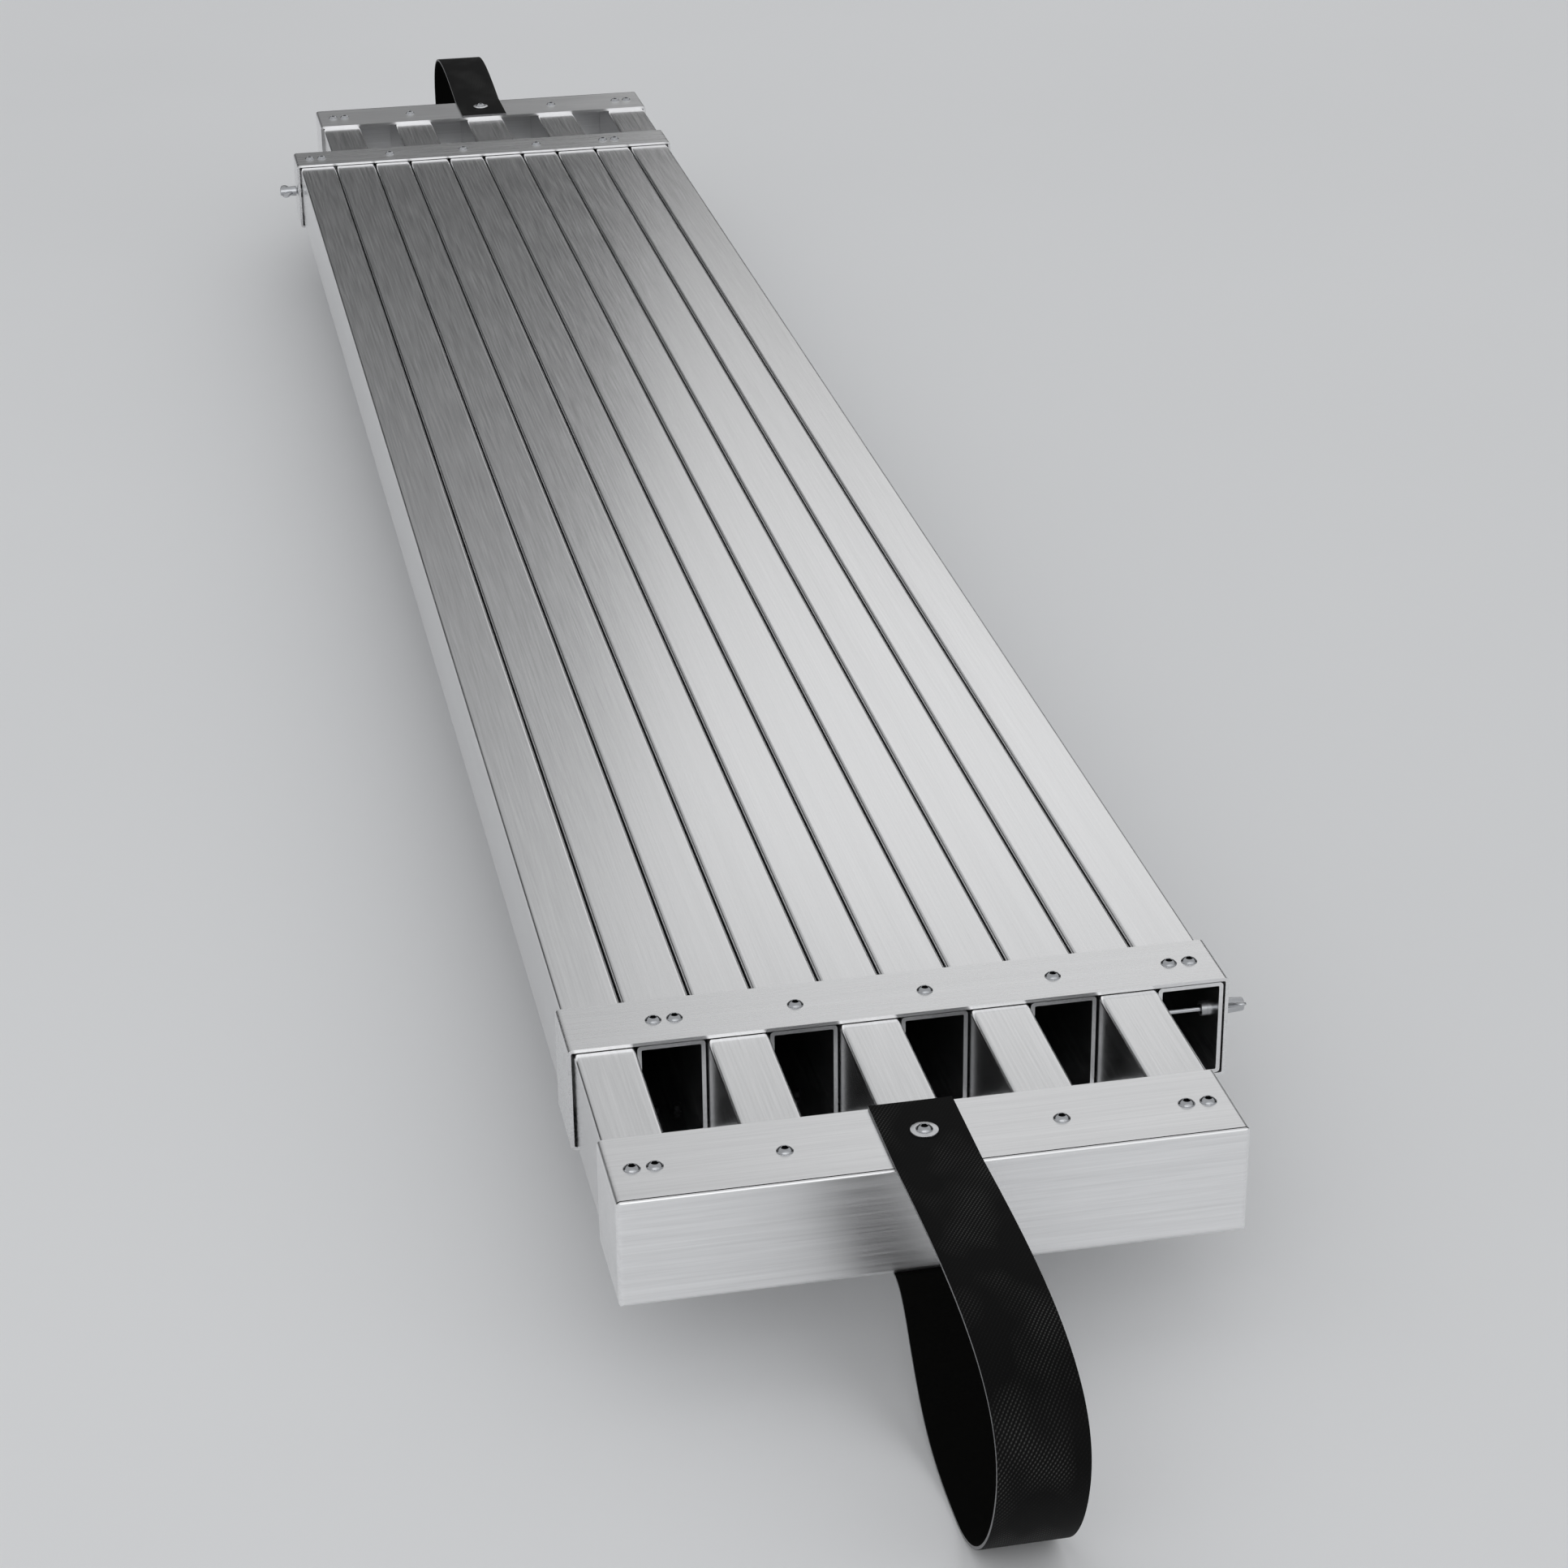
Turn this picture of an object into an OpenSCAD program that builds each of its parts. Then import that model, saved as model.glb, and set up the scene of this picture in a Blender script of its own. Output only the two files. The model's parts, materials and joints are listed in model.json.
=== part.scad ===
// Telescoping aluminium walk board: two sections of box rails that interleave, each carried by
// its own end cap and by a collar at its free end.
// Frame: X across the plank, Y along it with the near end at -Y, Z up.
// The origin is under the middle of the plank, on the surface that the strap loops hang down to.
// Both sections are drawn as the near one is. The far one is then turned half a turn about Z,
// and differs only in the width of its rails.

/* [Length] */
// Length of one section, from the face of its end cap to the open ends of its rails
section_len = 1930; // [1200:10:2600]
// How far the plank is drawn out from fully closed
drawn_out = 92; // [20:1:400]

/* [Rails] */
// Width of a box rail of the near section
near_rail_w = 32.8; // [30:0.2:42]
// Width of a box rail of the far section
far_rail_w = 36.4; // [30:0.2:42]
// Height of one box rail
rail_h = 56; // [48:1:70]
// Wall of a rail
rail_wall = 2.2; // [1.6:0.1:3]
// Outer corner radius of a rail
rail_corner = 2.2; // [1.4:0.1:2.6]
// Inner corner radius of a rail
rail_bore_corner = 0.8; // [0.4:0.1:1.2]
// Gap between neighbouring rails
rail_gap = 1; // [0.4:0.1:1.5]
// Gap between a rail's end and the face plate of its cap
rail_end_gap = 1; // [0.5:0.1:3]

/* [End cap] */
// Depth of an end cap along the plank
cap_depth = 60; // [48:1:80]
// Thickness of the cap's sheet
cap_sheet = 2.4; // [2:0.1:3]
// Outside radius of the cap's folds
cap_fold = 3; // [2.8:0.1:4]
// Outside radius of the cap's top front edge
cap_lip = 1.2; // [0.8:0.1:2]
// Width of the seam behind the cap's top front edge
seam_w = 0.8; // [0.5:0.1:1.2]
// Depth of that seam
seam_depth = 0.9; // [0.4:0.1:1.2]

/* [Collar] */
// Depth of a collar along the plank
collar_depth = 45; // [38:1:60]
// Running gap above and below the rails that slide through a collar
slide_gap = 0.4; // [0.2:0.1:0.8]
// Gap between a collar and the outer sides of the rails
side_gap = 1.3; // [1.1:0.1:2]
// Outside radius of the collar's folds
collar_fold = 3; // [2.4:0.1:4]
// Side of the square seat pressed into the collar under each fixed rail's screws
seat_size = 24; // [20:1:28]

/* [Screws] */
// Diameter of a screw's shank
screw_d = 5; // [4:0.5:6]
// Length of a domed screw's shank below its head
screw_len = 16; // [12:1:20]
// Length of a countersunk screw with its head
sunk_len = 8; // [7:0.5:12]
// Diameter of a domed head
head_d = 8.8; // [8:0.2:10]
// Height of a domed head
head_h = 2.6; // [2.2:0.1:3.2]
// Distance between the two screws of a pair
pair_pitch = 11.5; // [10.5:0.5:14]
// Width across the flats of the socket in a head
socket_af = 3; // [2.5:0.5:4]
// Depth of that socket
socket_depth = 1.6; // [1.2:0.1:1.9]
// Radial clearance of a screw in a rail
screw_fit = 0.05; // [0.02:0.01:0.1]
// Radial clearance of a screw in a sheet or in the strap
screw_clear = 0.2; // [0.1:0.05:0.4]

/* [Strap] */
// Width of a strap
strap_w = 44; // [36:1:50]
// Thickness of a strap
strap_t = 2; // [1.6:0.1:3]
// How far a strap's loop reaches in front of the cap
loop_reach = 198; // [150:2:240]
// How far the loop hangs below the plank's underside
loop_drop = 58; // [40:1:70]
// Height of the loop's foremost point above the plank's underside
loop_nose = 18; // [5:1:30]
// How far the near loop's top run rises above the cap on its way forward
near_loop_rise = 6; // [0:0.5:16]
// How far the far loop's top run rises above the cap on its way forward
far_loop_rise = 14; // [0:0.5:16]
// How far the loop's bottom runs forward before it turns up
loop_round = 44; // [30:1:60]
// Distance from the cap to the near loop's lowest point
near_loop_low = 127; // [110:1:140]
// Distance from the cap to the far loop's lowest point
far_loop_low = 115; // [110:1:140]
// Distance from the cap to where the returning run straightens
loop_knee = 45; // [35:1:60]
// Diameter of the washers that hold a strap
washer_d = 14.5; // [12:0.5:18]
// Thickness of those washers
washer_t = 1.2; // [1:0.1:1.6]

/* [Clamp] */
// Diameter of the wing bolt's shank
bolt_d = 6; // [5:0.5:8]
// Radial clearance of the bolt in its nut and its pad
bolt_fit = 0.05; // [0.02:0.01:0.1]
// Diameter of the threaded insert's barrel
insert_d = 8.5; // [8:0.5:10]
// Length of the insert's barrel behind its flange
insert_len = 5; // [4:0.5:12]
// Thickness of the insert's flange
insert_flange = 1; // [0.6:0.1:1]
// Diameter of the insert's flange
insert_flange_d = 13; // [12:0.5:15]
// Diameter of the pressure pad
pad_d = 9; // [8:0.5:11]
// Length of the pressure pad
pad_len = 8; // [7:0.5:10]
// Depth of the pad's socket for the bolt
pad_socket = 5; // [4:0.5:5.5]
// Radial clearance of the pad in its rail
pad_clear = 0.3; // [0.2:0.05:0.5]
// Gap between the pad and the sliding rail
pad_gap = 0.2; // [0.1:0.05:0.25]
// Gap between the bolt's end and the bottom of the pad's socket
bolt_end_gap = 0.3; // [0.1:0.05:0.5]
// Radial clearance of the bolt in the collar's side
bolt_hole_gap = 1; // [0.5:0.1:2]
// Gap between the wing bolt's hub and the collar
hub_gap = 1; // [0.5:0.1:3]
// Diameter of the wing bolt's hub
hub_d = 9.6; // [8:0.2:11]
// Length of the wing bolt's hub
hub_len = 10.5; // [6:0.5:11]
// How much narrower the hub's outer end is
hub_taper = 1.5; // [0.5:0.1:2.5]
// Height of a wing along the bolt's axis
wing_h = 12; // [9:0.5:15]
// Reach of a wing's tip from the bolt's axis
wing_reach = 14; // [11:0.5:18]
// Thickness of a wing
wing_t = 3; // [2:0.2:4]
// Radius of a wing's tip
wing_tip = 3.8; // [3:0.1:4.4]
// Slope of a wing's edges
wing_slope = 22; // [10:1:30]
// Angle of the near bolt's wings about its axis, up from level
near_wing_turn = 8; // [0:1:90]
// Angle of the far bolt's wings about its axis, up from level
far_wing_turn = 26; // [0:1:90]

/* [Hidden] */
$fn = 48;
RAILS = 5;                                    // rails in one section
MIDDLE = 2;                                   // the rail that carries the strap, counted from 0
EPS = 0.5;                                    // how far a cut or a joined root runs past a face
CURVE_STEPS = 12;                             // stretches drawn along each curve of the loop
KNEE_SHARE = 0.57;                            // the knee's share of the loop's drop
KNEE_RUN = [0.45, 0.3];                       // run at the knee, in shares of its distance and of the drop
SHOULDER_SHARE = 1.7;                         // height of the loop's shoulder, in shares of its rise
LEAD_SHARE = 0.4;                             // last run under the cap, in shares of the knee's distance

NEAR = [near_rail_w, far_rail_w];             // a section: the width of its own rails, then of the others
FAR = [far_rail_w, near_rail_w];
pair_w = near_rail_w + far_rail_w + 2 * rail_gap;
half_len = (section_len + cap_depth + drawn_out) / 2;
face_y = -half_len;                           // outer face of the near cap
cap_rear_y = face_y + cap_depth;
open_y = face_y + section_len;                // open ends of the near section's rails
cap_screw_y = face_y + cap_depth / 2;
collar_y = open_y - collar_depth / 2;

under_z = loop_drop;                          // underside of the caps and collars
rail_z = under_z + cap_sheet;
rail_top = rail_z + rail_h;
top_z = rail_top + cap_sheet;
collar_sheet = cap_sheet - slide_gap;
clamp_z = rail_z + rail_h / 2;

plank_side = (RAILS * pair_w - rail_gap) / 2; // outer side of the outermost rails
cap_left = -plank_side - cap_sheet;
collar_side = plank_side + side_gap + collar_sheet;

shank_r = screw_d / 2;
sink_edge = 0.2;                              // straight edge above a countersink
sink_h = cap_sheet - sink_edge;               // height of a countersunk head
sink_r = shank_r + sink_h;
tip_h = 1.2;                                  // chamfer at a shank's tip

// Right-hand end of a section's cap
function cap_right(section) = rail_x(section, RAILS - 1) + section[0] / 2 + cap_sheet;
// Centre of rail i of a section, counted from 0 at the left
function rail_x(section, i) = -plank_side + section[0] / 2 + i * pair_w;
// Screw positions across rail i: a pair on the outermost rails, one on the others
function screws_on(i) = (i == 0 || i == RAILS - 1) ? [-pair_pitch / 2, pair_pitch / 2] : [0];
// Every screw position across a section, with or without the strap's own rail
function screw_xs(section, with_middle) = [
    for (i = [0 : RAILS - 1])
        if (with_middle || i != MIDDLE)
            for (dx = screws_on(i))
                rail_x(section, i) + dx
];

// Point at share t of the cubic curve with the ends p[0] and p[3]
function cubic(p, t) =
    pow(1 - t, 3) * p[0] + 3 * t * pow(1 - t, 2) * p[1] + 3 * pow(t, 2) * (1 - t) * p[2] + pow(t, 3) * p[3];
// Points along a chain of such curves, without the last end
function chain(curves) = [for (c = curves) for (k = [0 : CURVE_STEPS - 1]) cubic(c, k / CURVE_STEPS)];
// Unit normal of a line of points at point i, on its left
function normal_at(p, i) =
    let (a = p[max(i - 1, 0)], b = p[min(i + 1, len(p) - 1)], d = b - a)
    [-d.y, d.x] / norm(d);
// Outline of a band of thickness t along a line of points
function band(p, t) = concat(
    [for (i = [0 : len(p) - 1]) p[i] + normal_at(p, i) * t / 2],
    [for (i = [len(p) - 1 : -1 : 0]) p[i] - normal_at(p, i) * t / 2]
);

// The strap's centre line in the plane of Y and Z, from the cap's rear edge on top of the cap,
// out and round the loop, and back to the rear edge under the cap. The loop's top run rises by
// rise, and its lowest point lies low away from the cap
function strap_line(rise, low) =
    let (
        over_z = top_z + strap_t / 2,
        under_cap_z = under_z - strap_t / 2,
        start = [face_y, over_z],
        nose = [face_y - loop_reach + strap_t / 2, under_z + loop_nose],
        lowest = [face_y - low, strap_t / 2],
        knee = [face_y - loop_knee, under_z - loop_drop * KNEE_SHARE],
        finish = [face_y, under_cap_z],
        shoulder = [nose.x, top_z + rise * SHOULDER_SHARE],
        knee_run = [loop_knee * KNEE_RUN.x, loop_drop * KNEE_RUN.y],
        over = [start, start + [-loop_reach / 2, rise], shoulder, nose],
        round_nose = [nose, nose - [0, loop_drop / 2], lowest - [loop_round, 0], lowest],
        return_run = [lowest, lowest + [low / 3, 0], knee - knee_run, knee],
        lead_in = [knee, knee + knee_run, finish - [loop_knee * LEAD_SHARE, 0], finish]
    )
    concat(
        [[cap_rear_y, over_z]],
        chain([over, round_nose, return_run, lead_in]),
        [finish, [cap_rear_y, under_cap_z]]
    );

// Rectangle between two corners with the radii r at lower left, lower right, upper right, upper left
module rounded_rect(low, high, r) {
    corners = [low, [high.x, low.y], high, [low.x, high.y]];
    inward = [[1, 1], [-1, 1], [-1, -1], [1, -1]];
    difference() {
        translate(low)
            square(high - low);
        for (k = [0 : 3])
            if (r[k] > 0)
                translate(corners[k])
                    scale(inward[k])
                        difference() {
                            translate([-EPS, -EPS])
                                square(r[k] + EPS);
                            translate([r[k], r[k]])
                                circle(r[k]);
                        }
    }
}

// A shape drawn in X and Z, carried along Y from y0 to y1
module along_y(y0, y1) {
    translate([0, y1, 0])
        rotate([90, 0, 0])
            linear_extrude(y1 - y0)
                children();
}

// A shape drawn in Y and Z, carried along X from x0 to x1
module along_x(x0, x1) {
    translate([x0, 0, 0])
        rotate([90, 0, 90])
            linear_extrude(x1 - x0)
                children();
}

// Rod along X between two stations
module rod_x(x0, x1, d) {
    translate([x0, 0, 0])
        rotate([0, 90, 0])
            cylinder(d = d, h = x1 - x0);
}

// Turns a piece of the far section from where it is drawn to where it belongs
module turned() {
    rotate([0, 0, 180])
        children();
}

// Screw with a domed head, standing on z = 0 with its shank down
module domed_screw(length) {
    dome_r = (pow(head_d / 2, 2) + pow(head_h, 2)) / (2 * head_h);
    difference() {
        intersection() {
            translate([0, 0, head_h - dome_r])
                sphere(dome_r);
            cylinder(d = head_d, h = head_h);
        }
        translate([0, 0, head_h - socket_depth])
            cylinder(d = socket_af / cos(30), h = head_h, $fn = 6);
    }
    translate([0, 0, -length + tip_h])
        cylinder(r = shank_r, h = length - tip_h);
    translate([0, 0, -length])
        cylinder(r1 = shank_r - tip_h / 2, r2 = shank_r, h = tip_h);
}

// Countersunk screw with its head's face on z = 0 and its shank up
module sunk_screw(length) {
    difference() {
        cylinder(r1 = sink_r, r2 = shank_r, h = sink_h);
        translate([0, 0, -EPS])
            cylinder(d = socket_af / cos(30), h = socket_depth + EPS, $fn = 6);
    }
    translate([0, 0, sink_h])
        cylinder(r = shank_r, h = length - sink_h - tip_h);
    translate([0, 0, length - tip_h])
        cylinder(r1 = shank_r, r2 = shank_r - tip_h / 2, h = tip_h);
}

// Cutter for a row of screws at y through the top sheet
module top_holes(xs, y) {
    for (x = xs)
        translate([x, y, rail_top - EPS])
            cylinder(r = shank_r + screw_clear, h = cap_sheet + 2 * EPS);
}

// Cutter for a row of countersunk screws at y through the bottom sheet
module sunk_holes(xs, y) {
    for (x = xs)
        translate([x, y, under_z]) {
            translate([0, 0, -EPS])
                cylinder(r = shank_r + screw_clear, h = cap_sheet + 2 * EPS);
            cylinder(r1 = sink_r + screw_clear, r2 = shank_r + screw_clear, h = sink_h);
            translate([0, 0, -EPS])
                cylinder(r = sink_r + screw_clear, h = EPS);
        }
}

// Folded pan with its flanges over and under the rails
module cap_shell(section) {
    inner_fold = cap_fold - cap_sheet;
    right = cap_right(section);
    difference() {
        intersection() {
            along_y(face_y, cap_rear_y)
                rounded_rect([cap_left, under_z], [right, top_z], [cap_fold, cap_fold, cap_fold, cap_fold]);
            along_x(cap_left, right)
                rounded_rect([face_y, under_z], [cap_rear_y, top_z], [cap_fold, 0, 0, cap_lip]);
            translate([0, 0, under_z])
                linear_extrude(top_z - under_z)
                    rounded_rect([cap_left, face_y], [right, cap_rear_y], [cap_fold, cap_fold, 0, 0]);
        }
        along_y(face_y + cap_sheet, cap_rear_y + EPS)
            rounded_rect(
                [cap_left + cap_sheet, rail_z],
                [right - cap_sheet, rail_top],
                [inner_fold, inner_fold, inner_fold, inner_fold]
            );
        translate([cap_left - EPS, face_y + cap_lip, top_z - seam_depth])
            cube([right - cap_left + 2 * EPS, seam_w, seam_depth + EPS]);
    }
}

// End cap of a section
module end_cap(section) {
    color("gainsboro")
        difference() {
            cap_shell(section);
            top_holes(screw_xs(section, true), cap_screw_y);
            sunk_holes(screw_xs(section, false), cap_screw_y);
            translate([rail_x(section, MIDDLE), cap_screw_y, under_z - EPS])
                cylinder(r = shank_r + screw_clear, h = cap_sheet + 2 * EPS);
        }
}

// Box rail number n of a section, open at its far end
module rail(section, n) {
    x = rail_x(section, n - 1);
    half_w = section[0] / 2;
    inner = rail_bore_corner;
    color("silver")
        difference() {
            along_y(face_y + cap_sheet + rail_end_gap, open_y)
                difference() {
                    rounded_rect(
                        [x - half_w, rail_z],
                        [x + half_w, rail_top],
                        [rail_corner, rail_corner, rail_corner, rail_corner]
                    );
                    rounded_rect(
                        [x - half_w + rail_wall, rail_z + rail_wall],
                        [x + half_w - rail_wall, rail_top - rail_wall],
                        [inner, inner, inner, inner]
                    );
                }
            for (y = [cap_screw_y, collar_y], dx = screws_on(n - 1), z = [rail_z, rail_top - rail_wall])
                translate([x + dx, y, z - EPS])
                    cylinder(r = shank_r + screw_fit, h = rail_wall + 2 * EPS);
            if (n == 1)
                clamp_holes(section);
        }
}

// Holes for the clamp through the first rail: its insert in the outer wall, its pad in the inner one
module clamp_holes(section) {
    inner_side = -plank_side + section[0];
    translate([0, collar_y, clamp_z]) {
        rod_x(-plank_side - EPS, -plank_side + rail_wall + EPS, insert_d + 2 * screw_fit);
        rod_x(inner_side - rail_wall - EPS, inner_side + EPS, pad_d + 2 * pad_clear);
    }
}

// Collar at the open end of a section, wrapped round all ten rails
module collar(section) {
    inner_side = plank_side + side_gap;
    inner_fold = collar_fold - collar_sheet;
    low_y = open_y - collar_depth;
    color("gainsboro")
        difference() {
            union() {
                along_y(low_y, open_y)
                    difference() {
                        rounded_rect(
                            [-collar_side, under_z],
                            [collar_side, top_z],
                            [collar_fold, collar_fold, collar_fold, collar_fold]
                        );
                        rounded_rect(
                            [-inner_side, rail_z - slide_gap],
                            [inner_side, rail_top + slide_gap],
                            [inner_fold, inner_fold, inner_fold, inner_fold]
                        );
                    }
                for (i = [0 : RAILS - 1], z = [rail_z - slide_gap, rail_top])
                    translate([rail_x(section, i) - seat_size / 2, collar_y - seat_size / 2, z])
                        cube([seat_size, seat_size, slide_gap]);
            }
            top_holes(screw_xs(section, true), collar_y);
            sunk_holes(screw_xs(section, true), collar_y);
            translate([0, collar_y, clamp_z])
                rod_x(-collar_side - EPS, -inner_side + EPS, bolt_d + 2 * bolt_hole_gap);
        }
}

// Domed screws through a sheet's top at y
module top_screws(xs, y) {
    color("lightsteelblue")
        for (x = xs)
            translate([x, y, top_z])
                domed_screw(screw_len);
}

// Countersunk screws through a sheet's bottom at y
module sunk_screws(xs, y) {
    color("lightsteelblue")
        for (x = xs)
            translate([x, y, under_z])
                sunk_screw(sunk_len);
}

// Carrying strap of a section: one band from the cap's top, round the loop and under the cap
module strap(section, rise, low) {
    x = rail_x(section, MIDDLE);
    color("dimgray")
        difference() {
            along_x(x - strap_w / 2, x + strap_w / 2)
                polygon(band(strap_line(rise, low), strap_t));
            for (z = [top_z, under_z - strap_t])
                translate([x, cap_screw_y, z - EPS])
                    cylinder(r = shank_r + screw_clear, h = strap_t + 2 * EPS);
        }
}

// The strap's two screws, above and below the cap
module strap_screws(section) {
    reach = screw_len + strap_t + washer_t;
    color("lightsteelblue")
        translate([rail_x(section, MIDDLE), cap_screw_y, 0]) {
            translate([0, 0, top_z + strap_t + washer_t])
                domed_screw(reach);
            translate([0, 0, under_z - strap_t - washer_t])
                mirror([0, 0, 1])
                    domed_screw(reach);
        }
}

// The strap's two washers
module strap_washers(section) {
    color("lightgray")
        for (z = [top_z + strap_t, under_z - strap_t - washer_t])
            translate([rail_x(section, MIDDLE), cap_screw_y, z])
                difference() {
                    cylinder(d = washer_d, h = washer_t);
                    translate([0, 0, -EPS])
                        cylinder(r = shank_r + screw_clear, h = washer_t + 2 * EPS);
                }
}

// Threaded insert of a clamp, set in the outer wall of a section's first rail
module clamp_insert() {
    bore = bolt_d + 2 * bolt_fit;
    color("darkgray")
        translate([0, collar_y, clamp_z])
            difference() {
                union() {
                    rod_x(-plank_side - insert_flange, -plank_side, insert_flange_d);
                    rod_x(-plank_side, -plank_side + insert_len, insert_d);
                }
                rod_x(-plank_side - insert_flange - EPS, -plank_side + insert_len + EPS, bore);
            }
}

// Where a clamp's pad ends, just short of the other section's first rail
function pad_tip(section) = -plank_side + section[0] + rail_gap - pad_gap;

// Pressure pad of a clamp, which reaches through the first rail's inner wall
module clamp_pad(section) {
    tip = pad_tip(section);
    color("tan")
        translate([0, collar_y, clamp_z])
            difference() {
                rod_x(tip - pad_len, tip, pad_d);
                rod_x(tip - pad_len - EPS, tip - pad_len + pad_socket, bolt_d + 2 * bolt_fit);
            }
}

// Outline of one wing in the plane of the bolt's axis, as a lobe that leans away from the hub
module wing_outline() {
    tip = [wing_h - wing_tip, wing_reach - wing_tip];
    edge = wing_tip * [cos(wing_slope), -sin(wing_slope)];
    translate(tip)
        circle(wing_tip);
    polygon([
        [EPS, 0],
        [2 * EPS, hub_d / 2],
        tip - edge,
        tip + edge,
        [hub_len - EPS, (hub_d - hub_taper / 2) / 2],
        [hub_len - hub_taper, 0],
    ]);
}

// Wing bolt of a clamp: shank, hub and two wings
module wing_bolt(section, turn) {
    hub_x = -collar_side - hub_gap;
    end_x = pad_tip(section) - pad_len + pad_socket - bolt_end_gap;
    color("lightsteelblue")
        translate([0, collar_y, clamp_z]) {
            rod_x(hub_x - EPS, end_x, bolt_d);
            translate([hub_x, 0, 0])
                rotate([0, -90, 0])
                    cylinder(d1 = hub_d, d2 = hub_d - hub_taper, h = hub_len);
            for (side = [0, 180])
                rotate([side + turn, 0, 0])
                    translate([hub_x, 0, -wing_t / 2])
                        mirror([1, 0, 0])
                            linear_extrude(wing_t)
                                wing_outline();
        }
}

end_cap(NEAR);  // near_cap
rail(NEAR, 1);  // near_rail_1
rail(NEAR, 2);  // near_rail_2
rail(NEAR, 3);  // near_rail_3
rail(NEAR, 4);  // near_rail_4
rail(NEAR, 5);  // near_rail_5
collar(NEAR);  // far_collar
top_screws(screw_xs(NEAR, false), cap_screw_y);  // near_cap_screws
sunk_screws(screw_xs(NEAR, false), cap_screw_y);  // near_cap_lower_screws
top_screws(screw_xs(NEAR, true), collar_y);  // far_collar_screws
sunk_screws(screw_xs(NEAR, true), collar_y);  // far_collar_lower_screws
strap(NEAR, near_loop_rise, near_loop_low);  // near_strap
strap_screws(NEAR);  // near_strap_screws
strap_washers(NEAR);  // near_strap_washers
clamp_insert();  // far_clamp_insert
clamp_pad(NEAR);  // far_clamp_pad
wing_bolt(NEAR, far_wing_turn);  // far_wing_bolt
turned() end_cap(FAR);  // far_cap
turned() rail(FAR, 1);  // far_rail_1
turned() rail(FAR, 2);  // far_rail_2
turned() rail(FAR, 3);  // far_rail_3
turned() rail(FAR, 4);  // far_rail_4
turned() rail(FAR, 5);  // far_rail_5
turned() collar(FAR);  // near_collar
turned() top_screws(screw_xs(FAR, false), cap_screw_y);  // far_cap_screws
turned() sunk_screws(screw_xs(FAR, false), cap_screw_y);  // far_cap_lower_screws
turned() top_screws(screw_xs(FAR, true), collar_y);  // near_collar_screws
turned() sunk_screws(screw_xs(FAR, true), collar_y);  // near_collar_lower_screws
turned() strap(FAR, far_loop_rise, far_loop_low);  // far_strap
turned() strap_screws(FAR);  // far_strap_screws
turned() strap_washers(FAR);  // far_strap_washers
turned() clamp_insert();  // near_clamp_insert
turned() clamp_pad(FAR);  // near_clamp_pad
turned() wing_bolt(FAR, near_wing_turn);  // near_wing_bolt
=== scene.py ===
"""Telescoping aluminium walk board: its finishes, fastenings, straps, clamps, floor, light and camera.

Everything is in metres, in the frame of the construction model: X across the plank, Y along it with
the near end at -Y, Z up from the floor.
"""

import json
import logging
import math
from dataclasses import dataclass, field
from enum import Enum

import bpy
import numpy as np
from mathutils import Matrix, Vector


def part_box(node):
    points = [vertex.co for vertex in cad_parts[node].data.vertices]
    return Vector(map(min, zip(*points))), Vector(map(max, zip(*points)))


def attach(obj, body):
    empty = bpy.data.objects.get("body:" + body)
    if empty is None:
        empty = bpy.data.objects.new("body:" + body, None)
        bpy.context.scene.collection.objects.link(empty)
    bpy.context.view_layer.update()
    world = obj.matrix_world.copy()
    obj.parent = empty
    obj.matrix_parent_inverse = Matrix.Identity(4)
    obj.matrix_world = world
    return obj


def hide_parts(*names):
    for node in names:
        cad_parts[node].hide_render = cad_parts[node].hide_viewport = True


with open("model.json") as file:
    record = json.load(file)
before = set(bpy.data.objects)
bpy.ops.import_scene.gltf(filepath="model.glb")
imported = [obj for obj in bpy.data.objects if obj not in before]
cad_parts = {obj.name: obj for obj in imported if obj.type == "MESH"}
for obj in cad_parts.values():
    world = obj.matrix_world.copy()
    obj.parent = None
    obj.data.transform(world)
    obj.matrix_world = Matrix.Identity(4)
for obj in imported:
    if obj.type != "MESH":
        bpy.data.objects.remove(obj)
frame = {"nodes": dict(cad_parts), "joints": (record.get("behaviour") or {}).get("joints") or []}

LOG = logging.getLogger("walk_board")
MM = 0.001
TURN = 2.0 * math.pi
WAVE = TURN / 20.0  # scale at which a wave texture repeats once in each metre
CORE = (0.3, 0.7)  # span that holds most values of a noise
UNIT = (0.0, 1.0)

Array = np.ndarray
Pair = tuple[float, float]
Triple = tuple[float, float, float]
Material = bpy.types.Material
Socket = bpy.types.NodeSocket


class Grain(Enum):
    """Direction in which a sheet or a profile is brushed, as the axis of its long strokes."""

    ACROSS = 0
    ALONG = 1


class End(Enum):
    """An end of the plank: its word in the names of the pieces, and its sign along Y."""

    NEAR = ("near", -1.0)
    FAR = ("far", 1.0)

    @property
    def word(self) -> str:
        """Word that starts the names of this end's pieces."""
        return self.value[0]

    @property
    def sign(self) -> float:
        """Sign of this end along Y."""
        return self.value[1]

    @property
    def other(self) -> "End":
        """The opposite end."""
        return End.FAR if self is End.NEAR else End.NEAR

    @property
    def body(self) -> str:
        """Moving body of the section whose cap is at this end."""
        return f"{self.word}_section"


def box(node: str) -> Array:
    """Lowest and highest corner of a node's box, as the rows of an array."""
    return np.array(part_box(node))


def centre(node: str) -> Array:
    """Middle of a node's box."""
    return box(node).sum(axis=0) / 2.0


# Surfaces


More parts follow.
